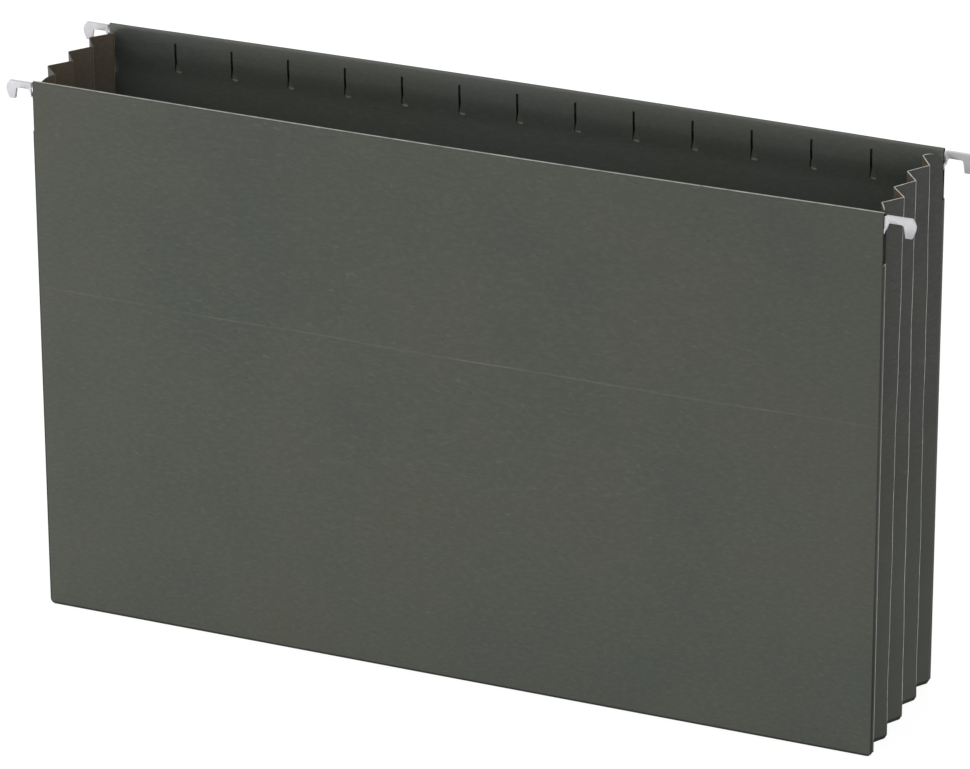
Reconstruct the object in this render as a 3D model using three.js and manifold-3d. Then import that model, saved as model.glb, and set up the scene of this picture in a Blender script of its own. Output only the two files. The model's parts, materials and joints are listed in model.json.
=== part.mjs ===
// Hanging document pocket for legal-size papers, standing open.
// Millimetres, +Z up. X runs along the hanger rails and Y through the depth.
// The front panel is at -Y. The origin is on the standing surface, at the middle.

import * as THREE from 'three';
import Module from 'manifold-3d';
import { mergeVertices } from 'three/addons/utils/BufferGeometryUtils.js';

// Pocket and its board
const pocketWidth = 374.65;
const pocketHeight = 241.3;
const boardThickness = 0.5;
const cornerRadius = 2.5;
const panelBow = 2;

// Pleats of the side gussets and of the bottom
const pleatsPerSide = 8;
const pleatWidth = 9.9;
const pleatAngle = THREE.MathUtils.degToRad(33);
const foldClearance = 0.15;
const gussetCornerRadius = 8.5;
const gussetFootRadius = 1.3;
const bottomEndClearance = 0.9;

// Turned edges of the panels: the side and bottom returns carry the end pleats
const returnDepth = 2.3;
const hemHeight = 22.2;
const hemInset = 0.5;
const returnDrop = 0.4;

// Tab slits through the hem's inner ply
const slitCount = 13;
const slitPitch = 26;
const slitWidth = 1;
const slitLength = 13.2;
const slitDrop = 4.8;

// Hanger rail: a flat steel strip in the hem, with a hook at each end
const railThickness = 0.8;
const railHeight = 8.2;
const railDrop = 1.5;
const railClearance = 0.2;
const railOverlap = 4;

// Hook, measured over its coating. Reach counts from the pocket's side, and
// drops count down from the hook's top edge.
const hookReach = 12.7;
const hookArmHeight = 3.1;
const hookDrop = 9;
const hookLipWidth = 4.7;
const hookToeWidth = 2.7;
const hookToeInset = 0.6;
const hookWebReach = 1.9;
const hookWaistReach = 0.85;
const hookWaistDrop = 5.1;
const hookWebDrop = 8.6;
const hookThroatRadius = 1.5;
const hookHeelShares = [[0.88, 0], [0.945, 0.14], [1, 0.37], [0.99, 0.59]];
const coatingWall = 0.3;
const coatingClearance = 0.1;
const bareStripLength = 0.9;

// Fineness of the curves
const bowSteps = 24;
const arcSegments = 8;
const cutOverrun = 2;

// Places worked out from the sizes above
const halfWidth = pocketWidth / 2;
const bowHalfWidth = halfWidth - pocketWidth / bowSteps;
const railChannel = railThickness + 2 * railClearance;
const hemDepth = railChannel + 2 * boardThickness;
const hemBottom = pocketHeight - hemHeight;
const foldOffset = boardThickness + foldClearance;
const pleatStep = pleatWidth * Math.cos(pleatAngle)
  + (foldOffset + foldClearance) * Math.sin(pleatAngle);
const firstFoldDepth = returnDepth + foldClearance;
const pocketDepth = 2 * firstFoldDepth + pleatsPerSide * pleatStep;
const coatingOffset = coatingWall + coatingClearance;
const railTop = pocketHeight - railDrop;
const hookTop = railTop + coatingOffset;
const railMiddleDepth = boardThickness + railChannel / 2;

// Materials
function board(color, roughness) {
  return new THREE.MeshStandardMaterial({ color, roughness, metalness: 0 });
}
const panelBoard = board('#53584f', 0.85);
const gussetBoard = board('#454542', 0.85);
const bottomBoard = board('#3b352e', 0.85);
const railSteel = new THREE.MeshStandardMaterial({ color: '#dcdcde', roughness: 0.35, metalness: 0.9 });
const hookCoating = new THREE.MeshStandardMaterial({ color: '#d0cfd3', roughness: 0.45, metalness: 0 });

// Solids that are joined and cut
const wasm = await Module();
wasm.setup();

function solidOf(geometry) {
  const bare = geometry.index ? geometry.toNonIndexed() : geometry.clone();
  bare.deleteAttribute('normal');
  bare.deleteAttribute('uv');
  const merged = mergeVertices(bare);
  return new wasm.Manifold(new wasm.Mesh({
    numProp: 3,
    vertProperties: new Float32Array(merged.attributes.position.array),
    triVerts: new Uint32Array(merged.index.array),
  }));
}

function geometryOf(solid) {
  const mesh = solid.getMesh();
  const geometry = new THREE.BufferGeometry();
  const positions = new Float32Array(mesh.vertProperties);
  geometry.setAttribute('position', new THREE.BufferAttribute(positions, mesh.numProp));
  geometry.setIndex(new THREE.BufferAttribute(new Uint32Array(mesh.triVerts), 1));
  geometry.computeVertexNormals();
  return geometry;
}

// A block between two corners
function block(low, high) {
  const size = new THREE.Vector3().subVectors(high, low);
  const middle = new THREE.Vector3().addVectors(low, high).multiplyScalar(0.5);
  return new THREE.BoxGeometry(size.x, size.y, size.z).translate(middle.x, middle.y, middle.z);
}

// An outline in X and Z, pushed through the depth from one Y to another
function plateThrough(shape, fromY, toY) {
  const geometry = new THREE.ExtrudeGeometry(shape, {
    depth: toY - fromY,
    bevelEnabled: false,
    curveSegments: arcSegments,
  });
  return geometry.rotateX(Math.PI / 2).translate(0, toY, 0);
}

// A section in Y and Z, swept along X across the pocket's width
function sweepAcross(section, width) {
  const geometry = new THREE.ExtrudeGeometry(section, {
    depth: width,
    steps: bowSteps,
    bevelEnabled: false,
  });
  const turn = new THREE.Matrix4().makeBasis(
    new THREE.Vector3(0, 1, 0),
    new THREE.Vector3(0, 0, 1),
    new THREE.Vector3(1, 0, 0),
  );
  return geometry.applyMatrix4(turn).translate(-width / 2, 0, 0);
}

// How far a panel bulges outwards: most at the middle of its top, and none
// below its rounded corners or within one step of its sides
function bowAt(x, z) {
  const across = Math.max(0, 1 - (x / bowHalfWidth) ** 2);
  const up = Math.max(0, (z - cornerRadius) / (pocketHeight - cornerRadius));
  return panelBow * across * up;
}

function bowOutwards(geometry) {
  const position = geometry.attributes.position;
  for (let i = 0; i < position.count; i += 1) {
    position.setY(i, position.getY(i) - bowAt(position.getX(i), position.getZ(i)));
  }
  return geometry;
}

// Panel: outer face at y = 0, inner side towards +y. The sheet turns in at the
// bottom, and over the rail at the top to form the hem.
function panelSection() {
  const points = [
    [0, 0],
    [0, cornerRadius],
    [0, pocketHeight],
    [hemDepth, pocketHeight],
    [hemDepth, hemBottom],
    [hemDepth - boardThickness, hemBottom],
    [hemDepth - boardThickness, pocketHeight - boardThickness],
    [boardThickness, pocketHeight - boardThickness],
    [boardThickness, cornerRadius],
    [boardThickness, boardThickness],
    [returnDepth, boardThickness],
    [returnDepth, 0],
  ];
  return new THREE.Shape(points.map(([y, z]) => new THREE.Vector2(y, z)));
}

// Blocks with x from a near to a far distance on one side of the middle
function sideBlock(side, nearX, farX, lowYZ, highYZ) {
  const xs = [side * nearX, side * farX];
  return block(
    new THREE.Vector3(Math.min(...xs), ...lowYZ),
    new THREE.Vector3(Math.max(...xs), ...highYZ),
  );
}

// The side edge that turns in to carry the end pleat, between the rounded corner and the hem
function sideReturn(side) {
  return sideBlock(
    side,
    halfWidth - boardThickness,
    halfWidth,
    [boardThickness / 2, cornerRadius + boardThickness],
    [returnDepth, hemBottom - returnDrop],
  );
}

// What the bottom return loses at a rounded corner
function returnCutter(side) {
  return sideBlock(
    side,
    halfWidth - cornerRadius,
    halfWidth + cutOverrun,
    [boardThickness, -cutOverrun],
    [returnDepth + cutOverrun, (boardThickness + cornerRadius) / 2],
  );
}

// What the sides lose along the hem
function hemNotch(side) {
  return sideBlock(
    side,
    halfWidth - hemInset,
    halfWidth + cutOverrun,
    [-cutOverrun, hemBottom],
    [hemDepth + cutOverrun, pocketHeight + cutOverrun],
  );
}

// What a bottom corner loses to its rounding
function cornerCutter(side) {
  const shape = new THREE.Shape();
  const centre = side * (halfWidth - cornerRadius);
  const away = side * (halfWidth + cutOverrun);
  shape.moveTo(centre, 0);
  if (side > 0) {
    shape.absarc(centre, cornerRadius, cornerRadius, -Math.PI / 2, 0);
  } else {
    shape.absarc(centre, cornerRadius, cornerRadius, -Math.PI / 2, -Math.PI, true);
  }
  shape.lineTo(away, cornerRadius);
  shape.lineTo(away, -cutOverrun);
  shape.lineTo(centre, -cutOverrun);
  return plateThrough(shape, -cutOverrun, boardThickness + cutOverrun);
}

function slitCutter(index) {
  const x = (index - (slitCount - 1) / 2) * slitPitch;
  const top = pocketHeight - slitDrop;
  const shift = bowAt(x, top - slitLength / 2);
  return block(
    new THREE.Vector3(x - slitWidth / 2, railMiddleDepth - shift, top - slitLength),
    new THREE.Vector3(x + slitWidth / 2, hemDepth + cutOverrun - shift, top),
  );
}

function makePanel() {
  let solid = solidOf(bowOutwards(sweepAcross(panelSection(), pocketWidth)));
  for (const side of [-1, 1]) {
    solid = solid.subtract(solidOf(returnCutter(side)));
    solid = solid.subtract(solidOf(cornerCutter(side)));
    solid = solid.subtract(solidOf(hemNotch(side)));
    solid = solid.add(solidOf(sideReturn(side)));
  }
  for (let i = 0; i < slitCount; i += 1) {
    solid = solid.subtract(solidOf(slitCutter(i)));
  }
  return geometryOf(solid);
}

// Lower edge of the web that joins a hook to its strip: level along the strip,
// then rising from the hem's end to the hook's waist
function webEdge(x, margin) {
  const waist = halfWidth + hookWaistReach - margin;
  const hemEnd = halfWidth - hemInset;
  const share = Math.min(1, (waist - x) / (waist - hemEnd));
  return hookTop - hookWaistDrop - share * (hookWebDrop - margin - hookWaistDrop);
}

// Hook outline at the +X end, x from the pocket's middle and z up. A margin
// draws the steel core inside the coating.
function hookOutline(margin, rootX) {
  const reach = hookReach - margin;
  const top = hookTop - margin;
  const toe = hookTop - hookDrop + margin;
  const armUnder = hookTop - hookArmHeight + margin;
  const lipInner = halfWidth + hookReach - hookLipWidth + margin;
  const toeInner = lipInner + hookToeInset;
  const toeOuter = toeInner + hookToeWidth - 2 * margin;
  const web = halfWidth + hookWebReach - margin;
  const waist = halfWidth + hookWaistReach - margin;
  const hemEnd = halfWidth - hemInset;

  const shape = new THREE.Shape();
  shape.moveTo(rootX, top);
  shape.lineTo(rootX, webEdge(rootX, margin));
  if (rootX < hemEnd) {
    shape.lineTo(hemEnd, webEdge(hemEnd, margin));
  }
  shape.lineTo(waist, webEdge(waist, margin));
  shape.quadraticCurveTo((web + waist) / 2, armUnder, web, armUnder);
  shape.lineTo(lipInner - hookThroatRadius, armUnder);
  shape.quadraticCurveTo(lipInner, armUnder, lipInner, armUnder - hookThroatRadius);
  shape.lineTo(toeInner, toe);
  shape.lineTo(toeOuter, toe);
  for (const [reachShare, dropShare] of hookHeelShares.toReversed()) {
    shape.lineTo(halfWidth + reach * reachShare, top - (top - toe) * dropShare);
  }
  return shape;
}

function mirrored(geometry) {
  return geometry.clone().rotateZ(Math.PI).translate(0, 2 * railMiddleDepth, 0);
}

// Rail: a strip that follows the panel's bow, with a hook core at each end
function railSection() {
  const near = boardThickness + railClearance;
  const points = [
    [near, railTop - railHeight],
    [near + railThickness, railTop - railHeight],
    [near + railThickness, railTop],
    [near, railTop],
  ];
  return new THREE.Shape(points.map(([y, z]) => new THREE.Vector2(y, z)));
}

// What the strip loses beyond the root of a hook core
function stripCutter(side) {
  return sideBlock(
    side,
    halfWidth - railOverlap / 2,
    halfWidth + cutOverrun,
    [-cutOverrun, railTop - railHeight - cutOverrun],
    [hemDepth + cutOverrun, pocketHeight + cutOverrun],
  );
}

function makeRail() {
  let solid = solidOf(bowOutwards(sweepAcross(railSection(), pocketWidth)));
  const near = boardThickness + railClearance;
  const outline = hookOutline(coatingOffset, halfWidth - railOverlap);
  const core = plateThrough(outline, near, near + railThickness);
  for (const side of [-1, 1]) {
    solid = solid.subtract(solidOf(stripCutter(side)));
    solid = solid.add(solidOf(side > 0 ? core : mirrored(core)));
  }
  return geometryOf(solid);
}

// Coated tip: a sleeve over the hook's core, open at its root
function makeHookTip() {
  const near = boardThickness + railClearance - coatingOffset;
  const far = near + railThickness + 2 * coatingOffset;
  const root = halfWidth - hemInset + bareStripLength;
  const sleeve = plateThrough(hookOutline(0, root), near, far);
  const inside = hookOutline(coatingWall, root - cutOverrun);
  const cavity = plateThrough(inside, near + coatingWall, far - coatingWall);
  return geometryOf(solidOf(sleeve).subtract(solidOf(cavity)));
}

// Pleat: a strip of board between two folds. Its outline runs from the outer
// fold (u = 0) to the inner fold, and along its length in v.
function pleatOutline(length, outerTopRadius, outerBottomRadius) {
  const outer = foldClearance;
  const inner = pleatWidth - foldClearance;
  const shape = new THREE.Shape();
  shape.moveTo(outer + outerBottomRadius, 0);
  shape.lineTo(inner, 0);
  shape.lineTo(inner, length);
  shape.lineTo(outer + outerTopRadius, length);
  if (outerTopRadius > 0) {
    shape.absarc(outer + outerTopRadius, length - outerTopRadius, outerTopRadius, Math.PI / 2, Math.PI);
  }
  shape.lineTo(outer, outerBottomRadius);
  if (outerBottomRadius > 0) {
    shape.absarc(outer + outerBottomRadius, outerBottomRadius, outerBottomRadius, Math.PI, Math.PI * 3 / 2);
  }
  return shape;
}

// Stands a pleat on its outer fold. The board lies on the outward side of that
// fold's axis and on the inward side of the inner one, so the pleats close flat.
function placePleat(mesh, outerFold, across, along, outward) {
  const through = new THREE.Vector3().crossVectors(across, along);
  const towardsOutside = Math.sign(through.dot(outward));
  mesh.geometry.translate(0, 0, towardsOutside > 0 ? foldClearance : -foldOffset);
  const holder = new THREE.Group();
  holder.applyMatrix4(new THREE.Matrix4().makeBasis(across, along, through).setPosition(outerFold));
  holder.add(mesh);
  return holder;
}

function pleatMesh(name, outline, material) {
  const geometry = new THREE.ExtrudeGeometry(outline, {
    depth: boardThickness,
    bevelEnabled: false,
    curveSegments: arcSegments,
  });
  const mesh = new THREE.Mesh(geometry, material);
  mesh.name = name;
  return mesh;
}

// Pleats are counted from the front. An odd one leans back from its outer fold, an even one forwards.
function pleatFold(number) {
  const foldsBefore = 2 * Math.floor(number / 2);
  const y = -pocketDepth / 2 + firstFoldDepth + foldsBefore * pleatStep;
  const leansBack = number % 2 === 1;
  return { y, heading: leansBack ? 1 : -1 };
}

const sin = Math.sin(pleatAngle);
const cos = Math.cos(pleatAngle);

function sidePleat(side, number) {
  const { y, heading } = pleatFold(number);
  const isEnd = number === 1 || number === pleatsPerSide;
  const outline = pleatOutline(pocketHeight, isEnd ? gussetCornerRadius : 0, gussetFootRadius);
  const name = `${side > 0 ? 'right' : 'left'}_pleat_${number}`;
  return placePleat(
    pleatMesh(name, outline, gussetBoard),
    new THREE.Vector3(side * (halfWidth - foldOffset), y, 0),
    new THREE.Vector3(-side * sin, heading * cos, 0),
    new THREE.Vector3(0, 0, 1),
    new THREE.Vector3(side * cos, heading * sin, 0),
  );
}

// The bottom's pleats stop short of the side gussets, even when those are folded flat
function bottomPleat(number) {
  const { y, heading } = pleatFold(number);
  const length = pocketWidth - 2 * (foldOffset + pleatWidth + bottomEndClearance);
  return placePleat(
    pleatMesh(`bottom_pleat_${number}`, pleatOutline(length, 0, 0), bottomBoard),
    new THREE.Vector3(-length / 2, y, foldOffset),
    new THREE.Vector3(0, heading * cos, sin),
    new THREE.Vector3(1, 0, 0),
    new THREE.Vector3(0, heading * sin, -cos),
  );
}

function namedMesh(name, geometry, material) {
  const mesh = new THREE.Mesh(geometry, material);
  mesh.name = name;
  return mesh;
}

// One panel with its rail and its two coated tips. The back one is the front one turned round.
function panelSet(end, turn) {
  const group = new THREE.Group();
  group.rotation.z = turn;
  group.position.y = turn === 0 ? -pocketDepth / 2 : pocketDepth / 2;
  const tip = makeHookTip();
  const plusSide = turn === 0 ? 'right' : 'left';
  const minusSide = turn === 0 ? 'left' : 'right';
  group.add(namedMesh(`${end}_panel`, makePanel(), panelBoard));
  group.add(namedMesh(`${end}_rail`, makeRail(), railSteel));
  group.add(namedMesh(`${end}_${plusSide}_hook_tip`, tip, hookCoating));
  group.add(namedMesh(`${end}_${minusSide}_hook_tip`, mirrored(tip), hookCoating));
  return group;
}

const pocket = new THREE.Group();
pocket.add(panelSet('front', 0));
pocket.add(panelSet('back', Math.PI));
for (let number = 1; number <= pleatsPerSide; number += 1) {
  pocket.add(sidePleat(1, number));
  pocket.add(sidePleat(-1, number));
  pocket.add(bottomPleat(number));
}

export default pocket;
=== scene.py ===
# %% [markdown]
# A hanging document pocket, standing open by itself. Two panels of pressboard carry a steel rail each in a
# folded hem, and thin pleated board joins them at both sides and along the bottom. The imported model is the
# fixed frame: this lesson dresses it, and every new piece goes where the frame's joints and boxes say.

# %% Load the frame
import json
import math

import bmesh
import bpy
from mathutils import Matrix, Quaternion, Vector


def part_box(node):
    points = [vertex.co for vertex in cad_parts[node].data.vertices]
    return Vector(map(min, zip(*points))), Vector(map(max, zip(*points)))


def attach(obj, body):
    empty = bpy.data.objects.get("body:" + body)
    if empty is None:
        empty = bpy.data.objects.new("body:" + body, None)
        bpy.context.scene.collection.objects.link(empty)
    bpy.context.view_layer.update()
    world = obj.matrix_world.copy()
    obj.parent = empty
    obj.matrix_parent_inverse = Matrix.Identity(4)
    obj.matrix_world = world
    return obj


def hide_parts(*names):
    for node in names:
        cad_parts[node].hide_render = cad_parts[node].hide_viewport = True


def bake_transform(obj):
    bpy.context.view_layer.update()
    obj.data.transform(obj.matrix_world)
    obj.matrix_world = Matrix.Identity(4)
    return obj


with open("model.json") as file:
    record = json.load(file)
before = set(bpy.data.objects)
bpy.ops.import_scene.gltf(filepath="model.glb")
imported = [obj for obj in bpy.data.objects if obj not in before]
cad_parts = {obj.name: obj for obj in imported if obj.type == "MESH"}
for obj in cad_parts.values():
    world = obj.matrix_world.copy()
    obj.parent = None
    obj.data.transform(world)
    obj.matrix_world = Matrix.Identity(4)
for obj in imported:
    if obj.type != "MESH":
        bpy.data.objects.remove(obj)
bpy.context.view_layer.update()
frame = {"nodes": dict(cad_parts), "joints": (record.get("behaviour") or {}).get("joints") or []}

# %% [markdown]
# The board is 0.5 mm thick and bends round a 0.15 mm inner radius. Each panel's side edges turn in by the
# return's depth, up to just below the hem. The rest is read from the frame: the panels' extent from their
# box, the fold lines from the joints, and from these the width and the lean of the pleats between them.

# %% Sizes
mm = 0.001
board = 0.5 * mm
fold_inner = 0.15 * mm
fold_outer = fold_inner + board
pleat_count = 8
return_depth = 2.3 * mm
return_drop = 0.4 * mm
hem_height = 22.2 * mm

panel_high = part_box("front_panel")[1]
half_width = panel_high.x
height = panel_high.z
front_y = panel_high.y - return_depth
joints = {j["name"]: j for j in frame["joints"]}
last_fold = Vector(joints["right_fold_8"]["pos_m"])
seventh_fold = Vector(joints["right_fold_7"]["pos_m"])
fold_step = last_fold.y - seventh_fold.y
fold_rise = last_fold.x - seventh_fold.x
hem_bottom = height - hem_height
return_top = hem_bottom - return_drop
board_shift = fold_inner + fold_outer
pleat_width = math.sqrt(fold_step ** 2 + fold_rise ** 2 - board_shift ** 2)
pleat_angle = math.atan2(fold_rise, fold_step) + math.atan2(board_shift, pleat_width)
print(f"panel {half_width / mm * 2:.1f} x {height / mm:.1f} mm, pleats {pleat_width / mm:.2f} mm wide, "
      f"leaning {math.degrees(pleat_angle):.1f} degrees")


# %% [markdown]
# A photograph of a product fixes the viewpoint: the camera stands well back, a little above and to the
# right of the pocket, so that the panel's edges stay nearly parallel. Its distance, turn and lens were
# found by matching the corners of both panels, so that the picture holds the object as the photograph does.

# %% Camera
picture_width = 970
camera_turn = math.radians(22.86)
camera_rise = math.radians(24.37)
camera_roll = math.radians(-0.25)
camera_distance = 2.4974
camera_target = Vector((16.4 * mm, front_y, 138.3 * mm))
focal_pixels = 6092
sensor_width = 36
towards_camera = Vector((
    math.sin(camera_turn) * math.cos(camera_rise),
    -math.cos(camera_turn) * math.cos(camera_rise),
    math.sin(camera_rise),
))
camera = bpy.data.objects.new("camera", bpy.data.cameras.new("camera"))
bpy.context.scene.collection.objects.link(camera)
camera.data.sensor_width = sensor_width
camera.data.lens = focal_pixels / picture_width * sensor_width
camera.location = camera_target + towards_camera * camera_distance
camera.rotation_mode = "QUATERNION"
camera.rotation_quaternion = towards_camera.to_track_quat("Z", "Y") @ Quaternion((0, 0, 1), camera_roll)
bpy.context.scene.camera = camera
bpy.context.scene.view_settings.view_transform = "Standard"
print(f"lens {camera.data.lens:.1f} mm at {camera_distance:.2f} m")


# %% [markdown]
# Colours are picked as sRGB hex, the way a paint chart or an image editor gives them, but shaders add up
# light in linear values. One function turns the first into the second. One more adds a shader node, sets
# what it is given and links what it is fed. The small ones after it name the sums that come back in every
# finish, which keeps each material a short list of its layers.

# %% Colour and node helpers
def linear(hex_colour):
    channels = [int(hex_colour[i:i + 2], 16) / 255 for i in (1, 3, 5)]
    values = [c / 12.92 if c <= 0.04045 else ((c + 0.055) / 1.055) ** 2.4 for c in channels]
    return (*values, 1.0)


def node(tree, kind, inputs=None, **settings):
    """Adds a node; inputs maps a socket's name or number to a value or to the output that feeds it."""
    made = tree.nodes.new(kind)
    for name, value in settings.items():
        setattr(made, name, value)
    for socket, value in (inputs or {}).items():
        if isinstance(value, bpy.types.NodeSocket):
            tree.links.new(value, made.inputs[socket])
        else:
            made.inputs[socket].default_value = value
    return made


def new_material(name):
    material = bpy.data.materials.new(name)
    material.use_nodes = True
    material.node_tree.nodes.clear()
    return material, material.node_tree


def maths(tree, operation, *values):
    return node(tree, "ShaderNodeMath", dict(enumerate(values)), operation=operation).outputs[0]


def product(tree, *values):
    result = values[0]
    for value in values[1:]:
        result = maths(tree, "MULTIPLY", result, value)
    return result


def stepped(tree, value, low, high, to_low=0.0, to_high=1.0):
    """to_low up to low, to_high from high on, and a ramp between; low may be the larger of the two."""
    return node(tree, "ShaderNodeMapRange",
                {"Value": value, "From Min": low, "From Max": high, "To Min": to_low, "To Max": to_high},
                ).outputs["Result"]


def band(tree, value, centre, half, soft):
    """1 where value lies within half of centre, falling to 0 over soft."""
    away = maths(tree, "ABSOLUTE", maths(tree, "SUBTRACT", value, centre))
    return stepped(tree, away, half, half + soft, 1.0, 0.0)


def tinted(tree, colour, tint, amount):
    """colour, mixed towards tint by amount."""
    return node(tree, "ShaderNodeMix", {0: amount, 6: colour, 7: tint}, data_type="RGBA").outputs[2]


def axes(tree, place):
    """The x, y and z of a place, as three outputs."""
    split = node(tree, "ShaderNodeSeparateXYZ", {"Vector": place})
    return [split.outputs[axis] for axis in "XYZ"]


def finished(material, relief, strength, depth, inputs):
    """Closes a material with a fine relief of the given depth, the main shader and the output."""
    tree = material.node_tree
    bump = node(tree, "ShaderNodeBump", {"Height": relief, "Strength": strength, "Distance": depth})
    shader = node(tree, "ShaderNodeBsdfPrincipled", {**inputs, "Normal": bump.outputs["Normal"]})
    node(tree, "ShaderNodeOutputMaterial", {"Surface": shader.outputs["BSDF"]})
    return material


print("pressboard green as linear values", [round(v, 3) for v in linear("#50534b")])


# %% [markdown]
# Pressboard is hard-rolled board, dyed in the pulp. Its colour is never quite even: broad clouds where the
# dye took differently, a fine grain of fibres, and a scatter of single pale and dark fibres. The rolled
# surface has a dull sheen. The clouds are noise of 60 mm. The grain is drawn at 1 mm, coarser than real
# fibres, so that it still shows at this distance.

# %% Pressboard
cloud_size = 60 * mm
fibre_size = 1.1 * mm
fleck_size = 2.3 * mm
grain = 0.12
board_roughness = 0.62
board_ior = 1.48


def mapped(tree, coordinates, stretch):
    """Object coordinates for a pattern that is drawn out by the given factors along the axes."""
    return node(tree, "ShaderNodeMapping",
                {"Vector": coordinates, "Scale": tuple(1 / s for s in stretch)}).outputs["Vector"]


def noise(tree, coordinates, size, detail=2.0, roughness=0.5):
    """Noise from 0 to 1, whose blobs have about the given size in metres."""
    return node(tree, "ShaderNodeTexNoise",
                {"Vector": coordinates, "Scale": 1 / size, "Detail": detail, "Roughness": roughness},
                ).outputs["Fac"]


def board_material(name, base, cool, warm, speck_pale, speck_dark, cloud, details=None):
    """Dyed board. cloud is the strength of its broad stains; details adds marks of its own."""
    material, tree = new_material(name)
    place = node(tree, "ShaderNodeTexCoord").outputs["Object"]
    colour = linear(base)
    clouds = noise(tree, place, cloud_size, detail=3.0)
    colour = tinted(tree, colour, linear(cool), product(tree, stepped(tree, clouds, 0.5, 0.72), cloud))
    colour = tinted(tree, colour, linear(warm), product(tree, stepped(tree, clouds, 0.5, 0.3), cloud))
    # rolled fibres lie along the sheet, so the grain is drawn out sideways
    fibres = noise(tree, mapped(tree, place, (2.6, 2.6, 1.0)), fibre_size, detail=3.0, roughness=0.65)
    colour = tinted(tree, colour, linear(speck_dark), stepped(tree, fibres, 0.5, 0.3, 0.0, grain))
    colour = tinted(tree, colour, linear(speck_pale), stepped(tree, fibres, 0.5, 0.7, 0.0, grain))
    flecks = noise(tree, mapped(tree, place, (1.8, 1.8, 1.0)), fleck_size, detail=1.0)
    colour = tinted(tree, colour, linear(speck_pale), stepped(tree, flecks, 0.72, 0.78, 0.0, 0.17))
    colour = tinted(tree, colour, linear(speck_dark), stepped(tree, flecks, 0.27, 0.21, 0.0, 0.3))
    if details:
        colour = details(tree, place, colour)
    sheen = stepped(tree, clouds, 0.3, 0.7, board_roughness - 0.05, board_roughness + 0.08)
    return finished(material, fibres, 0.22, 0.06 * mm, {
        "Base Color": colour, "Roughness": sheen, "IOR": board_ior, "Specular IOR Level": 0.35})


print("board finish with a grain of", round(fibre_size / mm, 1), "mm")


# %% [markdown]
# A panel that has hung in a drawer for years is marked where it is touched: the end of the side return is
# rubbed pale, and one long scuff crosses the front where the next pocket's hem rubs. Painted light is
# laid on as well: painted shade along the folded edges and the foot, painted shade deepening towards the
# top, and a painted highlight along the top of the hem. Each mark is a mask made from the place on the
# panel, so that it stays with its edge, and it tints the dyed colour a little.

# %% Marks on the panels
scuff_height = 146.6 * mm
scuff_wander = 3.4 * mm
wander_size = 90 * mm
scuff_half = 0.1 * mm
scuff_soft = 0.35 * mm


def panel_marks(tree, place, colour):
    x, y, z = axes(tree, place)
    # painted shade: the folded edges and the foot are darker, the sides more so lower down
    side = stepped(tree, maths(tree, "ABSOLUTE", x), half_width - 0.9 * mm, half_width - 0.5 * mm)
    foot = stepped(tree, z, 1.3 * mm, 0.9 * mm)
    shade_share = stepped(tree, z, 90 * mm, 50 * mm, 0.7, 1.0)
    edge_shade = maths(tree, "MAXIMUM", product(tree, side, shade_share), foot)
    colour = tinted(tree, colour, linear("#1a1c18"), product(tree, edge_shade, 0.9))
    # painted shade: the panel is a little darker towards the top
    colour = tinted(tree, colour, linear("#3a3d38"), stepped(tree, z, 110 * mm, 235 * mm, 0.0, 0.17))
    # the end of the front panel's side return is rubbed pale beside the first crease
    return_end = front_y + return_depth
    behind = stepped(tree, y, return_end - 0.5 * mm, return_end - 0.3 * mm)
    front_half = stepped(tree, y, 0.01, 0.0)
    rubbed = product(tree, side, behind, front_half, stepped(tree, z, 5 * mm, 8 * mm))
    colour = tinted(tree, colour, linear("#a3a398"), product(tree, rubbed, 0.75))
    # the scuff is broken into dashes and strongest a little right of the middle
    wander = noise(tree, place, wander_size, detail=1.0)
    level = maths(tree, "MULTIPLY_ADD", wander, scuff_wander, scuff_height)
    scuff = band(tree, z, level, scuff_half, scuff_soft)
    broken = noise(tree, mapped(tree, place, (9.0, 1.0, 60.0)), 3.2 * mm)
    dashes = stepped(tree, broken, 0.35, 0.65, 0.3, 1.0)
    middle = band(tree, x, 0.02, 0.04, 0.14)
    front_only = stepped(tree, y, front_y + 2 * board, front_y + board)
    amount = product(tree, scuff, dashes, front_only, stepped(tree, middle, 0, 1, 0.09, 0.24))
    return tinted(tree, colour, linear("#9a9d90"), amount)


def hem_marks(tree, place, colour):
    """Along its top the hem carries a painted highlight, paler than the rest of the inside."""
    painted_highlight = stepped(tree, axes(tree, place)[2], height - 7 * mm, height - 2 * mm, 0.0, 0.12)
    return tinted(tree, colour, linear("#9a9a95"), painted_highlight)


pressboard = board_material(
    "pressboard, dyed grey-green", "#50534b", "#4a5450", "#54533d", "#7d8278", "#2e322c",
    cloud=0.2, details=panel_marks)
# painted light: the inner side is a paler copy of the same board, standing in for light inside the pocket
pressboard_inside_lit = board_material(
    "pressboard, inner side, painted lighter", "#61655f", "#5a6563", "#666353", "#8a8f86", "#3a3e38",
    cloud=0.2, details=hem_marks)
print(pressboard.name, "has", len(pressboard.node_tree.nodes), "nodes")


# %% [markdown]
# The gussets and the bottom are a thinner, darker board. Its outer side is a neutral grey, its inner side is
# browner. Where the sheet is cut, the pulp shows: a raw edge is paler and rougher than the rolled face. Where
# it is folded, the dyed skin cracks and the convex side of each crease wears to a pale line. Painted shade
# darkens the gussets' cut edges below their tops, all of the left gusset's cut edges, the gussets' foot and
# the creases near the floor, and the panels' cut edges are painted dark for the shade in slits and returns.

# %% Gusset board, raw edges and creases
def gusset_marks(tree, place, colour):
    """The gusset's outer side is greener towards its foot, and its very edge there carries painted shade."""
    z = axes(tree, place)[2]
    colour = tinted(tree, colour, linear("#50554b"), stepped(tree, z, 150 * mm, 40 * mm, 0.0, 0.7))
    return tinted(tree, colour, linear("#161714"), stepped(tree, z, 1.7 * mm, 1.3 * mm, 0.0, 0.95))


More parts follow.
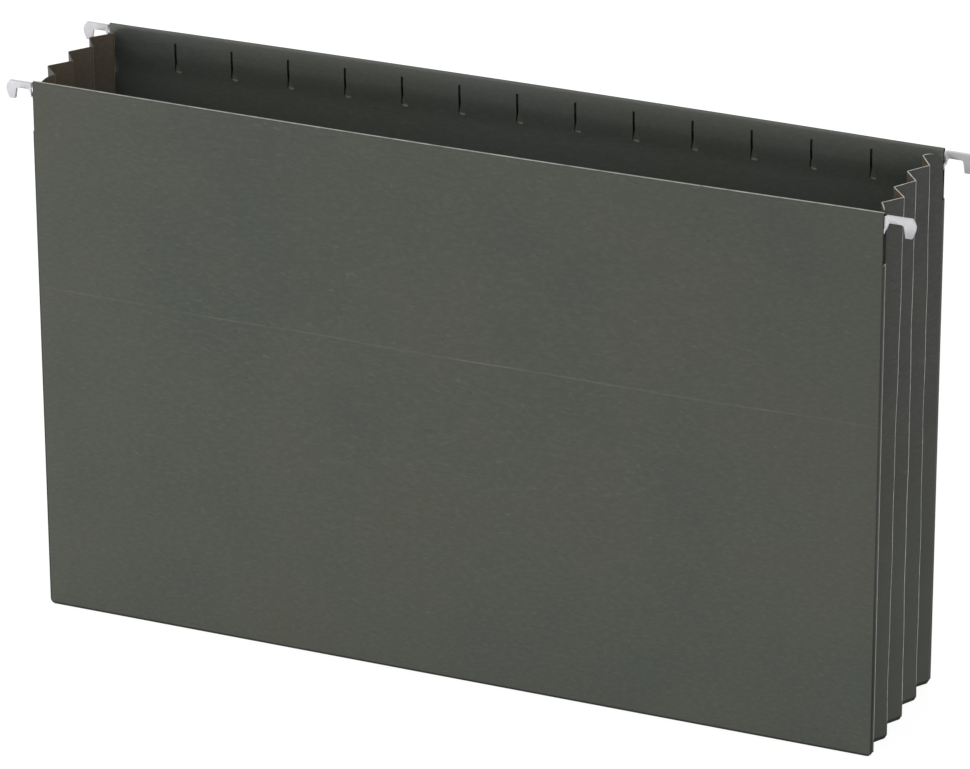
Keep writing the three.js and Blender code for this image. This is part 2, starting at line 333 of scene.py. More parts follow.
gusset_outer = board_material("gusset board, outer side", "#4c4c49", "#484d4b", "#504d45", "#7e7e76",
                              "#2a2a27", cloud=0.2, details=gusset_marks)
gusset_inner = board_material("gusset board, inner side", "#61584b", "#5b5b4d", "#695b45", "#948c78",
                              "#38332b", cloud=0.3)


def plain_board(name, base, pale, dark, size, roughness, marks=None):
    """Bare pulp: two tones in blotches of the given size. marks adds what the object's own place changes."""
    material, tree = new_material(name)
    place = node(tree, "ShaderNodeTexCoord").outputs["Object"]
    blotches = noise(tree, place, size, detail=3.0, roughness=0.6)
    colour = tinted(tree, linear(base), linear(pale), stepped(tree, blotches, 0.5, 0.68))
    colour = tinted(tree, colour, linear(dark), stepped(tree, blotches, 0.46, 0.3))
    if marks:
        colour = marks(tree, axes(tree, place)[2], colour)
    return finished(material, blotches, 0.4, 0.05 * mm, {
        "Base Color": colour, "Roughness": roughness, "IOR": board_ior})


def pale_return_top(tree, z, colour):
    """The cut top of the side return, just below the hem, stays clean and pale."""
    return tinted(tree, colour, linear("#b9b8aa"), band(tree, z, return_top, 0.2 * mm, 0.1 * mm))


def dark_foot(tree, z, colour):
    """Near the floor a crease carries painted shade instead of its worn colour."""
    return tinted(tree, colour, linear("#2b2b27"), stepped(tree, z, 8.5 * mm, 6.5 * mm, 0.0, 0.92))


def soiled_below(tree, z, colour):
    """Only the cut along the top stays pale; below it, painted shade darkens the sides and the feet."""
    return tinted(tree, colour, linear("#2c2b27"), stepped(tree, z, height - 0.6 * mm, height - 1.4 * mm))


# painted shade: the panels' cut edges, front and back, are darker than bare pulp, for the shade in slits and
# returns
shaded_raw_edge = plain_board("pressboard, raw cut edge", "#3b3d36", "#4a4c44", "#2a2c27", 2 * mm, 0.8,
                       marks=pale_return_top)
back_shaded_raw_edge = plain_board("back pressboard, raw cut edge", "#3b3d36", "#4a4c44", "#2a2c27", 2 * mm, 0.8)
hidden_side = plain_board("pressboard, unlit inside of the hem", "#161714", "#1d1f1b", "#0f100e", 3 * mm, 0.9)
# painted highlight: the tongues and their lips are painted pale for the light they catch
tongue_highlight = plain_board("pressboard, tongue in painted highlight", "#68675c", "#727166", "#58574c", 1.5 * mm, 0.75)
lip_highlight = plain_board("pressboard, lip in painted highlight", "#909086", "#9e9e94", "#7a7a70", 1.5 * mm, 0.75)
# worn pale and painted highlight: the top fold's wear, with the light it catches from above
worn_top_and_highlight = plain_board("pressboard, fold worn pale with painted highlight", "#a8aaa2", "#c0c2ba", "#8b8e86", 6 * mm, 0.7)
gusset_edge = plain_board("gusset board, raw cut edge", "#c9c9c0", "#e2e2dc", "#a0a097", 2.2 * mm, 0.8,
                          marks=soiled_below)
# painted shade: the left gusset's cut edges are painted dark
shaded_edge = plain_board("gusset board, cut edge in painted shade", "#302f2a", "#3f3e38", "#22211e", 2.2 * mm, 0.8)
worn_ridge = plain_board("gusset board, crease worn pale", "#c6c6c1", "#e4e4e0", "#9a9a94", 5 * mm, 0.7,
                         marks=dark_foot)
worn_valley = plain_board("gusset board, crease lightly worn", "#6a685d", "#7f7c70", "#4f4d45", 5 * mm, 0.7,
                          marks=dark_foot)
print("board finishes", [m.name for m in bpy.data.materials])


# %% [markdown]
# The rails are cold-rolled steel strip. Drawing the strip through its rolls leaves fine lines along it and
# a satin shine. Inside the hem the strip is lacquered dark: the slits show nothing bright behind them. The
# hook tips are dipped in a pale grey vinyl, which has a faint orange-peel skin and a low sheen. Steel keeps
# the default index of refraction, and vinyl has about 1.53.

# %% Steel and coating
def steel_material():
    material, tree = new_material("cold-rolled steel strip")
    place = node(tree, "ShaderNodeTexCoord").outputs["Object"]
    lines = noise(tree, mapped(tree, place, (40.0, 1.0, 1.0)), 0.35 * mm)
    shine = tinted(tree, linear("#d9d9da"), linear("#b9babd"), lines)
    # the lacquer ends just inside the panels' side edges
    out = maths(tree, "ABSOLUTE", axes(tree, place)[0])
    bare = stepped(tree, out, half_width - 2 * mm, half_width - 1.5 * mm)
    dull = stepped(tree, bare, 0, 1, 0.25, 0.0)
    rough = maths(tree, "ADD", stepped(tree, lines, 0.3, 0.7, 0.26, 0.42), dull)
    return finished(material, lines, 0.15, 0.02 * mm, {
        "Base Color": tinted(tree, linear("#1b1c1b"), shine, bare), "Metallic": bare, "Roughness": rough})


def vinyl_material():
    material, tree = new_material("dipped grey vinyl")
    place = node(tree, "ShaderNodeTexCoord").outputs["Object"]
    peel = noise(tree, place, 0.9 * mm)
    smudge = noise(tree, place, 6 * mm)
    colour = tinted(tree, linear("#e6e5e8"), linear("#d6d5da"), stepped(tree, smudge, 0.4, 0.75))
    # painted shade: the front right-hand tip is darker, mostly at its toe
    x, y, z = axes(tree, place)
    toe = stepped(tree, z, height - 5 * mm, height - 8 * mm, 0.0, 0.7)
    shade_share = product(tree, toe, stepped(tree, x, -0.1, 0.1), stepped(tree, y, 0.01, -0.01))
    colour = tinted(tree, colour, linear("#aeadb4"), shade_share)
    return finished(material, peel, 0.12, 0.05 * mm, {
        "Base Color": colour, "Roughness": stepped(tree, smudge, 0.3, 0.7, 0.38, 0.5), "IOR": 1.53})


steel = steel_material()
vinyl = vinyl_material()
print("metal and plastic", steel.name, "and", vinyl.name)


# %% [markdown]
# Every sheet in this object is made the same way: a single skin without thickness is cut and bent with
# bmesh operators, then Solidify gives it the board's thickness and puts the raw-edge finish on its rim. The
# result is applied, so that creases and cut edges can be marked sharp while folds and bows stay smooth.

# %% Sheet helpers
tiny = 0.01 * mm


def edges_on(bm, test):
    return [e for e in bm.edges if all(test(v.co) for v in e.verts)]


def evenly(low, high, steps):
    """Evenly spaced places between low and high, without the two ends."""
    return [low + (high - low) * i / steps for i in range(1, steps)]


def cut_along(bm, axis, places):
    """Cuts a mesh with planes square to an axis, so that it can bend there."""
    normal = Vector([1.0 if i == axis else 0.0 for i in range(3)])
    for place in places:
        geometry = bm.verts[:] + bm.edges[:] + bm.faces[:]
        bmesh.ops.bisect_plane(bm, geom=geometry, plane_co=normal * place, plane_no=normal, dist=1e-8)


def outline_face(bm, points):
    """A flat face through a few points of an outline."""
    return bm.faces.new([bm.verts.new(p) for p in points])


def outline_edges(bm, points):
    """A closed ring of loose edges through a few points."""
    ring = [bm.verts.new(p) for p in points]
    return [bm.edges.new(pair) for pair in zip(ring, ring[1:] + ring[:1])]


def added_points(extruded):
    """The points that an extrusion added, which are still to be moved to their place."""
    return [g for g in extruded["geom"] if isinstance(g, bmesh.types.BMVert)]


def rounded(bm, corners, radius, segments):
    """Rounds the given corner vertices of a flat outline."""
    bmesh.ops.bevel(bm, geom=corners, offset=radius, segments=segments, profile=0.5,
                    affect="VERTICES", material=-1)


def piece(name, bm, materials, body, smooth_angle=30):
    mesh = bpy.data.meshes.new(name)
    bm.to_mesh(mesh)
    bm.free()
    for material in materials:
        mesh.materials.append(material)
    made = bpy.data.objects.new(name, mesh)
    bpy.context.scene.collection.objects.link(made)
    mesh.shade_smooth()
    mesh.set_sharp_from_angle(angle=math.radians(smooth_angle))
    if body:
        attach(made, body)
    return made


def thicken(made, thickness, inner=0, rim=0, smooth_angle=30):
    """Gives a skin its wall, inwards from the side its faces point to, and applies it."""
    solid = made.modifiers.new("board thickness", "SOLIDIFY")
    solid.thickness = thickness
    solid.offset = -1
    solid.use_even_offset = True
    solid.material_offset = inner
    solid.material_offset_rim = rim
    bpy.context.view_layer.update()
    depsgraph = bpy.context.evaluated_depsgraph_get()
    mesh = bpy.data.meshes.new_from_object(made.evaluated_get(depsgraph))
    made.modifiers.clear()
    made.data = mesh
    mesh.shade_smooth()
    mesh.set_sharp_from_angle(angle=math.radians(smooth_angle))
    return made


def point_outwards(bm, test, direction):
    """Makes an open sheet's faces agree. All are turned if the largest face that test picks looks the other
    way than the given direction."""
    bmesh.ops.recalc_face_normals(bm, faces=bm.faces[:])
    bm.normal_update()
    chosen = max((f for f in bm.faces if test(f.calc_center_median())), key=lambda f: f.calc_area())
    if chosen.normal.dot(direction) < 0:
        bmesh.ops.reverse_faces(bm, faces=bm.faces[:])
        bm.normal_update()


print("a sheet is cut at places such as", evenly(0.0, 1.0, 4))


# %% [markdown]
# A panel's top folds over the rail and comes down inside as a 22 mm hem, which bulges over the rail and then
# eases down into the panel. The panel itself bulges 2 mm outwards at the middle of its top, as a sheet held
# only at its edges does. Two functions give both bulges at any place, so that the sheet and the small parts
# on it bend alike.

# %% Profile of a panel
hem_depth = 2.2 * mm
hem_edge_step = 0.03 * mm
rail_bottom = 9 * mm
corner_radius = 2.4 * mm
panel_bow = 2 * mm
bow_width_share = 1 - 2 / 24


def share_between(value, low, high):
    return min(1.0, max(0.0, (value - low) / (high - low)))


def panel_bowed(x, z):
    """How far a panel bulges outwards at a place of its face."""
    across = max(0.0, 1 - (x / (half_width * bow_width_share)) ** 2)
    up = max(0.0, (z - corner_radius) / (height - corner_radius))
    return panel_bow * across * up


def hem_rise(z):
    """How far the hem's inner ply lies behind the panel's outer face: fully over the rail, then easing down
    until its cut edge stands out of the panel's inside by one small step."""
    down = share_between(z, height - rail_bottom, hem_bottom)
    return hem_depth + (board + hem_edge_step - hem_depth) * down * down * (3 - 2 * down)


print(f"the hem rises from {hem_rise(hem_bottom) / mm:.2f} to {hem_depth / mm:.2f} mm over the rail")


# %% [markdown]
# The hem's inner ply has thirteen punched slits for index tabs. Each slit ends in a wider foot with round
# corners. Its outline is added as loose edges inside the ply's own outline, and one triangle fill over both
# makes the pierced ply, which leaves cleaner edges than cutting holes into a finished sheet.

# %% Slits
slit_count = 13
slit_pitch = 26 * mm
slit_top = height - 4.8 * mm
slit_places = [(i - (slit_count - 1) / 2) * slit_pitch for i in range(slit_count)]
slit_corner_radius = 0.7 * mm
# millimetres to the right of the slit's middle and down from its top; points 4 to 7 are the foot's corners
slit_outline = [(0.5, 0), (-0.5, 0), (-0.5, 8.1), (-2.3, 11.9), (-2.1, 13.7), (0.3, 13.7), (1.0, 12.7),
                (0.5, 8.6)]


def add_slit(bm, x):
    """Cuts one slit's outline as loose edges in the plane of the hem's inner ply."""
    hole = bmesh.new()
    face = outline_face(hole, [(x + px * mm, hem_depth, slit_top - depth * mm) for px, depth in slit_outline])
    rounded(hole, list(face.verts)[3:7], slit_corner_radius, 3)
    rounded_face = max(hole.faces, key=lambda f: f.calc_area())
    edges = outline_edges(bm, [v.co for v in rounded_face.verts])
    hole.free()
    return edges


print(slit_count, "slits from", round(slit_places[0] / mm), "to", round(slit_places[-1] / mm), "mm")


# %% [markdown]
# A panel is one sheet. Its face is an outline with rounded foot corners. The sides and the bottom are
# extruded inwards to carry the end pleats, the top is spun over the rail, and the pierced ply is joined on
# inside. Last, the flat sheet is cut into strips and every point moves out by the two bulges.

# %% Panel skin
hem_inset = 0.5 * mm
fold_radius = 0.45 * mm
top_radius = hem_depth / 2
top_centre = height - top_radius
corner_steps = 8
fold_steps = 4
turn_steps = 12
bow_steps = 36
rise_steps = 24
hem_steps = 10
hem_steps_end = top_centre - 6 * mm
# degrees round the top fold, from the panel's outer face, between which its skin is worn pale and carries a
# painted highlight
worn_and_lit_from = 58
worn_and_lit_to = 108
# places of the finishes in the panel's list
outer_face, cut_face, fold_face, hidden_face, inner_face = range(5)


def panel_skin(foot_corner):
    bm = bmesh.new()
    hem_x = half_width - hem_inset
    right_side = [(half_width, 0), (half_width, return_top), (half_width, hem_bottom), (hem_x, hem_bottom),
                  (hem_x, top_centre)]
    left_side = [(-x, z) for x, z in reversed(right_side)]
    face = outline_face(bm, [(x, 0, z) for x, z in right_side + left_side])
    rounded(bm, [v for v in face.verts if v.co.z < tiny], foot_corner, corner_steps)
    # the sides and the bottom turn in as one rim
    rim = edges_on(bm, lambda p: p.z < return_top + tiny)
    turned = bmesh.ops.extrude_edge_only(bm, edges=rim)
    bmesh.ops.translate(bm, verts=added_points(turned), vec=(0, return_depth, 0))
    fold = edges_on(bm, lambda p: p.z < return_top + tiny and abs(p.y) < tiny)
    bmesh.ops.bevel(bm, geom=fold, offset=fold_radius, segments=fold_steps, profile=0.5, affect="EDGES",
                    material=-1)
    # the top turns over the rail
    top = edges_on(bm, lambda p: p.z > top_centre - tiny)
    bmesh.ops.spin(bm, geom=top + list({v for e in top for v in e.verts}), cent=(0, top_radius, top_centre),
                   axis=(1, 0, 0), angle=-math.pi, steps=turn_steps)
    for f in bm.faces:
        c = f.calc_center_median()
        turn = math.degrees(math.atan2(c.z - top_centre, top_radius - c.y))
        if c.z > top_centre and worn_and_lit_from < turn < worn_and_lit_to:
            f.material_index = fold_face
    # and comes down inside as the slit ply
    corners = [(hem_x, top_centre), (hem_x, hem_bottom), (-hem_x, hem_bottom), (-hem_x, top_centre)]
    edges = outline_edges(bm, [(x, hem_depth, z) for x, z in corners])
    for x in slit_places:
        edges += add_slit(bm, x)
    bmesh.ops.triangle_fill(bm, edges=edges, use_beauty=True, normal=(0, 1, 0))
    bmesh.ops.remove_doubles(bm, verts=bm.verts[:], dist=tiny)
    cut_along(bm, 0, evenly(-half_width, half_width, bow_steps))
    face_levels = evenly(corner_radius, top_centre, rise_steps)
    cut_along(bm, 2, face_levels + evenly(hem_bottom, hem_steps_end, hem_steps))
    for v in bm.verts:
        if v.co.y > hem_depth - tiny and hem_bottom - tiny < v.co.z < top_centre:
            v.co.y = hem_rise(v.co.z)
        v.co.y -= panel_bowed(v.co.x, v.co.z)
    point_outwards(bm, lambda c: c.z < height / 2, Vector((0, -1, 0)))
    return bm


print(f"the top folds round {top_radius / mm:.1f} mm")


# %% [markdown]
# The back panel is the front one turned round. Its foot corners are a little squarer and its fold has
# neither the pale wear nor the painted highlight of the front's. Once the board has its wall, its faces are
# sorted by where they lie: those round the rail get the unlit finish, and the rest of the inside gets a paler
# copy of the green, painted lighter than the outer face to stand in for the light on the inside.

# %% Both panels
back_corner_radius = 1.5 * mm
foot_corners = {"front": corner_radius, "back": back_corner_radius}
edge_finishes = {"front": (shaded_raw_edge, worn_top_and_highlight), "back": (back_shaded_raw_edge, back_shaded_raw_edge)}
facing_inwards = 0.3


def on_panel(end):
    """Takes a piece modelled on a panel at y = 0, with its inside towards +y, to that panel's place."""
    if end == "front":
        return Matrix.Translation((0, front_y, 0))
    return Matrix.Translation((0, -front_y, 0)) @ Matrix.Rotation(math.pi, 4, "Z")


def in_hem(c):
    """Whether a place on the sheet lies on the inside of the hem, round the rail."""
    depth = c.y + panel_bowed(c.x, c.z)
    if c.z > top_centre:
        return math.hypot(depth - top_radius, c.z - top_centre) < top_radius - 0.75 * board
    return c.z > hem_bottom + 2 * mm and board / 2 < depth < hem_rise(c.z) - board / 2


for end in ("front", "back"):
    skin = panel_skin(foot_corners[end])
    bmesh.ops.transform(skin, matrix=on_panel(end), verts=skin.verts[:])
    finishes = [pressboard, *edge_finishes[end], hidden_side, pressboard_inside_lit]
    sheet = piece(f"{end}_panel_sheet", skin, finishes, f"{end}_panel")
    thicken(sheet, board, rim=cut_face)
    to_local = on_panel(end).inverted()
    for polygon in sheet.data.polygons:
        if in_hem(to_local @ polygon.center):
            polygon.material_index = hidden_face
        elif polygon.material_index == outer_face:
            if (to_local.to_3x3() @ polygon.normal).y > facing_inwards:
                polygon.material_index = inner_face
    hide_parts(f"{end}_panel")
    print(sheet.name, len(sheet.data.polygons), "faces")


# %% [markdown]
# At each slit's foot the punch leaves a small tongue of board, hinged on one side and pressed in a little,
# where a tab's lug goes in. Its lower lip stands out. The tongue is painted paler and its lip paler still,
# a painted highlight for the light they catch. All of one panel's tongues are one piece, because they belong
# to the same sheet.

# %% Slit tongues
# millimetres, as for the slit's outline
tongue_outline = [(-0.45, 8.0), (-2.25, 11.9), (-2.05, 13.65), (0.25, 13.65), (0.8, 12.7), (0.1, 9.8)]
tongue_corner_radius = 0.5 * mm
tongue_wall = 0.3 * mm
tongue_sunk = 0.4 * mm
hinge_width = 1.8 * mm
tongue_bend = 10 * mm
lip = 12.8
lip_raised = 0.25 * mm
lip_from = lip - 0.2
lip_to = lip + 0.7
lip_finish = 2


def slit_tongues(end):
    bm = bmesh.new()
    for x in slit_places:
        face = outline_face(bm, [(x + px * mm, 0, slit_top - depth * mm) for px, depth in tongue_outline])
        rounded(bm, list(face.verts)[2:5], tongue_corner_radius, 3)
    cut_along(bm, 2, [slit_top - lip * mm, slit_top - tongue_bend])
    for f in bm.faces:
        if f.calc_center_median().z < slit_top - lip * mm:
            f.material_index = lip_finish
    for v in bm.verts:
        nearest = min(slit_places, key=lambda x: abs(v.co.x - x))
        sunk = tongue_sunk * share_between(v.co.x - nearest, -hinge_width, 0)
        raised = lip_raised * share_between(slit_top - v.co.z, lip_from * mm, lip_to * mm)
        v.co.y = hem_rise(v.co.z) - sunk + raised - panel_bowed(v.co.x, v.co.z)
    point_outwards(bm, lambda c: True, Vector((0, 1, 0)))
    bmesh.ops.transform(bm, matrix=on_panel(end), verts=bm.verts[:])
    made = piece(f"{end}_slit_tongues", bm, [tongue_highlight, back_shaded_raw_edge, lip_highlight], f"{end}_panel")
    return thicken(made, tongue_wall, rim=1)


for end in ("front", "back"):
    print(slit_tongues(end).name, "on the hem")


# %% [markdown]
# A gusset is a strip of board folded like a bellows. Between two folds lies a flat pleat, which turns as one
# piece when the pocket opens or closes, so each pleat is its own mesh on its own body. Real fold lines are
# never dead straight: the free tops have relaxed by a millimetre or so, the folds lean a little, and each
# line ripples by a tenth of a millimetre. The photograph doesn't show the bottom's folds: they stay straight.

# %% Fold lines
sides = {"right": 1, "left": -1}
along_axis = {"right": Vector((0, 0, 1)), "left": Vector((0, 0, 1)), "bottom": Vector((1, 0, 0))}
bottom_gap = 0.9 * mm


def fold_y(index):
    return last_fold.y + (index - pleat_count) * fold_step


def outward(group):
    return Vector((0, 0, -1)) if group == "bottom" else Vector((sides[group], 0, 0))


def fold_axis(group, index):
    """A point on a fold's axis, at the middle of the pocket or at the floor's level."""
    depth = fold_rise if index % 2 else 0.0
    out = outward(group)
    base = last_fold.x if group != "bottom" else -fold_outer
    return out * (base - depth) + Vector((0, fold_y(index), 0))


def pleat_frame(group, number):
    """Outer fold's point, direction across the pleat, outward normal. Pleats are counted from the front."""
    heading = 1 if number % 2 else -1
    out = outward(group)
    ahead = Vector((0, heading, 0))
    across = -out * math.sin(pleat_angle) + ahead * math.cos(pleat_angle)
    normal = out * math.cos(pleat_angle) + ahead * math.sin(pleat_angle)
    return fold_axis(group, 2 * (number // 2)), across, normal


def along_range(group):
    """Where the pleats begin and end. The bottom's stop short of the gussets, which fold inwards."""
    if group == "bottom":
        reach = half_width - fold_outer - pleat_width - bottom_gap
        return -reach, reach
    return 0.0, height


print("fold axes from", fold_axis("right", 0), "to", fold_axis("right", pleat_count))


# %% [markdown]
# A short table, chosen beside the photograph, says for each fold how far its top stands outwards,
# and how far its top and its foot lean backwards. A formula spreads this over the fold's height and adds a
# slow and a fine ripple. The folds at the panels are held by them, so they don't stray.

# %% How the folds stray
# millimetres for the folds from 1 to 7: outwards at the top, backwards at the top, backwards at the foot
strays_out = {
    "right": (0.9, 1.6, 0.1, 0.1, -0.4, 0.2, -0.3),
    "left": (0.2, 1.6, 0.4, 1.0, 0.0, -0.1, -1.5),
}
leans_top = {
    "right": (-0.7, -1.1, -1.3, -0.6, -1.2, -0.8, -0.5),
    "left": (-0.5, -1.1, -0.9, -0.6, -0.2, -0.1, -0.4),
}
leans_foot = (-0.6, -0.9, -0.4, 0.0, 0.7, 1.2, 0.7)
foot_spread = 0.5
slow_ripple = 0.12
slow_length = 17.5 * mm
fine_ripple = 0.08
fine_length = 6.1 * mm
fold_phase = 1.7
left_phase = 2.4


def is_held(group, index):
    return group == "bottom" or index in (0, pleat_count)


def leaning(group, index):
    """How far a fold leans backwards at its foot and at its top; in between it is straight."""
    if is_held(group, index):
        return 0.0, 0.0
    return leans_foot[index - 1] * mm, leans_top[group][index - 1] * mm


def stray(group, index, along):
    """How far a side fold strays from its axis at a height: the free tops have relaxed outwards, the folds
    lean a little, and the inner folds' feet are spread."""
    if is_held(group, index):
        return Vector()
    share = along / height
    phase = fold_phase * index + left_phase * (group == "left")
    ripple = (slow_ripple * math.sin(along / slow_length + phase)
              + fine_ripple * math.sin(along / fine_length + 2 * phase))
    relaxed = strays_out[group][index - 1] * share ** 2
    spread = foot_spread * (index % 2) * (1 - share) ** 2
    foot, top = leaning(group, index)
    return outward(group) * (relaxed + spread + ripple) * mm + Vector((0, foot + (top - foot) * share, 0))


print("the second right fold strays by", stray("right", 2, height), "at its top")


# %% [markdown]
# A pleat starts as a flat outline in the plane of its outer fold, gets its rounded corners from a vertex
# bevel, is cut across so that it can wander with its folds, and is then set up at its 33 degrees. The two
# pleats next to the panels also have a large round at the top, where the gusset's corner is cut off.

# %% Pleats
gusset_radius = 8.5 * mm
foot_radius = 1.3 * mm
small_round_steps = 5
large_round_steps = 10
cuts_across = 4
cuts = {"right": 48, "left": 48, "bottom": 12}
cut_edge = {"right": gusset_edge, "left": shaded_edge, "bottom": gusset_edge}


def pleat(group, number):
    origin, across, normal = pleat_frame(group, number)
    low, high = along_range(group)
    inner = pleat_width - fold_inner
    bm = bmesh.new()
    face = outline_face(bm, [(fold_inner, 0, low), (inner, 0, low), (inner, 0, high), (fold_inner, 0, high)])
    if group != "bottom":
        rounded(bm, [list(face.verts)[0]], corner_radius if number == 1 else foot_radius,
                small_round_steps)
        if number in (1, pleat_count):
            top_corner = min(bm.verts, key=lambda v: (v.co - Vector((fold_inner, 0, high))).length)
            rounded(bm, [top_corner], gusset_radius, large_round_steps)
    cut_along(bm, 0, evenly(fold_inner, inner, cuts_across))
    cut_along(bm, 2, evenly(low, high, cuts[group]))
    outer_index = 2 * (number // 2)
    inner_index = outer_index + (1 if number % 2 else -1)
    for v in bm.verts:
        place = v.co.z
        moved = stray(group, outer_index, place).lerp(stray(group, inner_index, place), v.co.x / pleat_width)
        v.co = origin + across * v.co.x + along_axis[group] * place + normal * fold_outer + moved
    point_outwards(bm, lambda c: True, normal)
    made = piece(f"{group}_pleat_{number}_board", bm, [gusset_outer, gusset_inner, cut_edge[group]],
                 f"{group}_pleat_{number}")
    thicken(made, board, inner=1, rim=2)
    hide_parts(f"{group}_pleat_{number}")
    return made


for group in ("right", "left", "bottom"):
    made = [pleat(group, number) for number in range(1, pleat_count + 1)]
    print(group, len(made), "pleats,", len(made[0].data.polygons), "faces each")


# %% [markdown]
# The creases between the pleats are the same board, bent round a small radius. Each is a spin of the
# sheet's section about the fold's axis, with short flats that reach the pleats. The side creases at the
# panels end below the hem, where the panels' own returns end.

# %% Crease geometry
worn_half_turn = math.radians(22)
worn_finish = 3
crease_steps = 10


def board_side(group, index, later):
    """Normal of the board on one side of a fold, on the side away from the fold's axis, and its direction."""
    number = index + 1 if later else index
    out = outward(group)
    if number in (0, pleat_count + 1):
        return out, Vector((0, 1 if later else -1, 0))
    _, across, normal = pleat_frame(group, number)
    convex = 1 if index % 2 == 0 else -1
    return normal * convex, across * convex


def body_beside(group, index, later):
    number = index + 1 if later else index
    if number == 0:
        return "front_panel"
    return "back_panel" if number > pleat_count else f"{group}_pleat_{number}"


def crease_range(group, index):
    low, high = along_range(group)
    if group == "bottom":
        return low, high
    foot = foot_radius if index % 2 == 0 else 0.0
    return foot, return_top if index in (0, pleat_count) else high


def signed_angle(a, b, axis):
    across_b = b - axis * b.dot(axis)
    return math.atan2(axis.dot(a.cross(across_b)), a.dot(across_b))


def crease_skin(group, index, start, turn, apex, flats, radius):
    """The convex skin of a crease: an arc of the given turn, worn round its apex, with flats where given."""
    centre = fold_axis(group, index)
    along = along_axis[group]
    bm = bmesh.new()
    first = [bm.verts.new(centre + start * radius + along * place) for place in crease_range(group, index)]
    edge = bm.edges.new(first)
    spun = bmesh.ops.spin(bm, geom=[edge] + first, cent=centre, axis=along, angle=turn, steps=crease_steps)
    last = [g for g in spun["geom_last"] if isinstance(g, bmesh.types.BMEdge)]
    for face in bm.faces:
        away = signed_angle(start, face.calc_center_median() - centre, along) - apex
        if abs(away) < worn_half_turn:
            face.material_index = worn_finish
    for ends, direction in zip(([edge], last), flats):
        if direction is not None:
            grown = bmesh.ops.extrude_edge_only(bm, edges=ends)
            bmesh.ops.translate(bm, verts=added_points(grown), vec=direction * fold_inner)
    cut_along(bm, 0 if group == "bottom" else 2, evenly(*along_range(group), cuts[group]))
    for v in bm.verts:
        v.co += stray(group, index, v.co.dot(along))
    return bm


print("creases run from", crease_range("right", 0)[0], "to", crease_range("right", 0)[1], "beside a panel")


# %% [markdown]
# A crease bends between the two bodies that its fold joins. Where the frame's chain of folds is open, at the
# middle fold of each gusset and of the bottom, the crease is two quarter-rounds instead, one on each pleat,
# which slide over each other.

# %% Creases
quarter_turn = math.radians(88)


def crease(group, index):
    along = along_axis[group]
    start, flat_start = board_side(group, index, False)
    end, flat_end = board_side(group, index, True)
    turn = signed_angle(start, end, along)
    ridge = index % 2 == 0
    faces = [gusset_outer, gusset_inner] if ridge else [gusset_inner, gusset_outer]
    worn = gusset_outer if index == pleat_count else worn_ridge if ridge else worn_valley
    finishes = faces + [cut_edge[group], worn]
    if index == pleat_count // 2:
        half = math.copysign(quarter_turn, turn)
        parts = [("front", start, half, turn / 2, (flat_start, None), fold_outer, False),
                 ("back", end, -half, -turn / 2, (flat_end, None), fold_outer - tiny, True)]
    else:
        parts = [("", start, turn, turn / 2, (flat_start, flat_end), fold_outer, None)]
    for label, begin, angle, apex, flats, radius, later in parts:
        bm = crease_skin(group, index, begin, angle, apex, flats, radius)
        point_outwards(bm, lambda c: True, (begin + Matrix.Rotation(angle, 3, along) @ begin).normalized())
        name = "_".join(w for w in (group, "fold", str(index), label) if w)
        body = body_beside(group, index, later) if label else None
        made = piece(name + "_crease", bm, finishes, body, smooth_angle=50)
        thicken(made, board, inner=1, rim=2, smooth_angle=50)
        if not label:
            # square to the leaning fold, so that the bend follows it over its whole length
            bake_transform(made)
    return turn


for group in ("right", "left", "bottom"):
    turns = [math.degrees(crease(group, index)) for index in range(pleat_count + 1)]
    print(group, "creases turn by", [round(t) for t in turns])


# %% [markdown]
# The hook tips are dipped, so their edges are soft. A copy of each tip from the frame is cleaned up, its flat
# sides are made single faces again, and its hard edges are rounded by a bevel. The hooks at hand are a little
# smaller than the frame's, the left ones most, so each tip is drawn in, and the rail's hooks with it.

# %% Hooks and rails
hook_top = height - 1.1 * mm
hook_root = 1.5 * mm
# shares of the frame's reach and drop
hook_shares = {"right": (1.0, 0.91), "left": (0.93, 0.85)}
tip_bevel = 0.22 * mm
shortest_hard_edge = 0.5 * mm
flat_angle = math.radians(2)
hard_angle = math.radians(40)


def frame_copy(name):
    """A copy of a rail or a tip, its points merged and its hooks drawn in."""
    bm = bmesh.new()
    bm.from_mesh(frame["nodes"][name].data)
    bmesh.ops.remove_doubles(bm, verts=bm.verts[:], dist=tiny)
    for v in bm.verts:
        reach = abs(v.co.x) - half_width
        if reach > 0:
            reach_share, drop_share = hook_shares["right" if v.co.x > 0 else "left"]
            drop = 1 + (drop_share - 1) * share_between(reach, 0, hook_root)
            v.co.x = math.copysign(half_width + reach * reach_share, v.co.x)
            v.co.z = hook_top - (hook_top - v.co.z) * drop
    bm.normal_update()
    return bm


def soft_tip(name):
    bm = frame_copy(name)
    bmesh.ops.dissolve_limit(bm, angle_limit=flat_angle, verts=bm.verts[:], edges=bm.edges[:])
    hard = [e for e in bm.edges if e.is_manifold and e.calc_face_angle() > hard_angle
            and e.calc_length() > shortest_hard_edge]
    bmesh.ops.bevel(bm, geom=hard, offset=tip_bevel, segments=3, profile=0.5, affect="EDGES",
                    clamp_overlap=True, material=-1)
    body = f"{name.split('_')[0]}_panel"
    made = piece(f"{name}_coating", bm, [vinyl], body, smooth_angle=50)
    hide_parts(name)
    return made


def rail_strip(name):
    made = piece(f"{name}_strip", frame_copy(name), [steel], f"{name.split('_')[0]}_panel")
    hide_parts(name)
    return made


for end in ("front", "back"):
    tips = [soft_tip(f"{end}_{side}_hook_tip") for side in sides]
    print(rail_strip(f"{end}_rail").name, [tip.name for tip in tips])


# %% [markdown]
# The set is a plain white sweep: a floor that shows as white but for the object's soft shadow, and a white
# world behind it. Both show their bright side to camera, mirror and glass rays only. The light that falls
# on the object stays plain: an even sky, and one broad lamp low in front on the left.

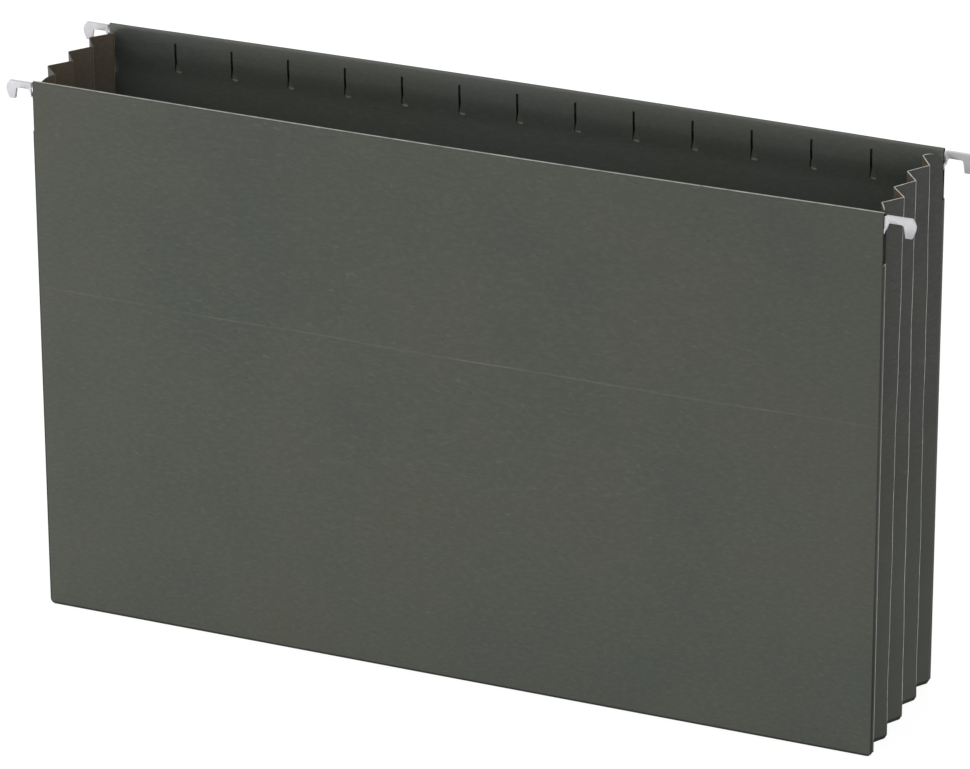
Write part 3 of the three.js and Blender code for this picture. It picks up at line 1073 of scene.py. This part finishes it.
# %% Floor
paper_grey = 0.82
floor_glow = 0.89
shadow_grey = 0.25
floor_reach = 6


def grey(value):
    return (value, value, value, 1)


def shown_rays(tree):
    """1 for camera, mirror and glass rays, and 0 for the light that falls on the object."""
    rays = node(tree, "ShaderNodeLightPath").outputs
    seen = maths(tree, "MAXIMUM", rays["Is Camera Ray"], rays["Is Glossy Ray"])
    return maths(tree, "MAXIMUM", seen, rays["Is Transmission Ray"])


def white_floor():
    material, tree = new_material("white paper sweep")
    paper = node(tree, "ShaderNodeBsdfDiffuse", {"Color": grey(paper_grey)}).outputs[0]
    glow = node(tree, "ShaderNodeEmission", {"Color": grey(1), "Strength": floor_glow}).outputs[0]
    dim = node(tree, "ShaderNodeBsdfDiffuse", {"Color": grey(shadow_grey)}).outputs[0]
    lit = node(tree, "ShaderNodeAddShader", {0: dim, 1: glow}).outputs[0]
    mixed = node(tree, "ShaderNodeMixShader", {0: shown_rays(tree), 1: paper, 2: lit}).outputs[0]
    node(tree, "ShaderNodeOutputMaterial", {"Surface": mixed})
    return material


floor_bm = bmesh.new()
bmesh.ops.create_grid(floor_bm, x_segments=1, y_segments=1, size=floor_reach)
floor = piece("floor", floor_bm, [white_floor()], None)
print("the floor reaches", floor_reach, "m to each side")


# %% [markdown]
# The sky gives most of the light, evenly from all sides. The lamp adds a little shape: it stands low, so
# that it lights the front panel and leaves the gussets and the inside darker.

# %% World and lamp
sky_strength = 0.68
backdrop_strength = 1.0
lamp_width = 0.7
lamp_height = 0.4
lamp_power = 7
lamp_place = (-1.1, -1.2, 0.25)

world = bpy.data.worlds.new("white studio")
bpy.context.scene.world = world
world.use_nodes = True
sky = world.node_tree
sky.nodes.clear()
light = node(sky, "ShaderNodeBackground", {"Color": grey(1), "Strength": sky_strength}).outputs[0]
backdrop = node(sky, "ShaderNodeBackground", {"Color": grey(1), "Strength": backdrop_strength}).outputs[0]
both = node(sky, "ShaderNodeMixShader", {0: shown_rays(sky), 1: light, 2: backdrop}).outputs[0]
node(sky, "ShaderNodeOutputWorld", {"Surface": both})

lamp = bpy.data.objects.new("key", bpy.data.lights.new("key", "AREA"))
bpy.context.scene.collection.objects.link(lamp)
lamp.data.shape = "RECTANGLE"
lamp.data.size = lamp_width
lamp.data.size_y = lamp_height
lamp.data.energy = lamp_power
lamp.location = lamp_place
aim = lamp.location - Vector((0, 0, height / 2))
lamp.rotation_euler = aim.to_track_quat("Z", "Y").to_euler()
print("lamp", lamp.data.energy, "W")
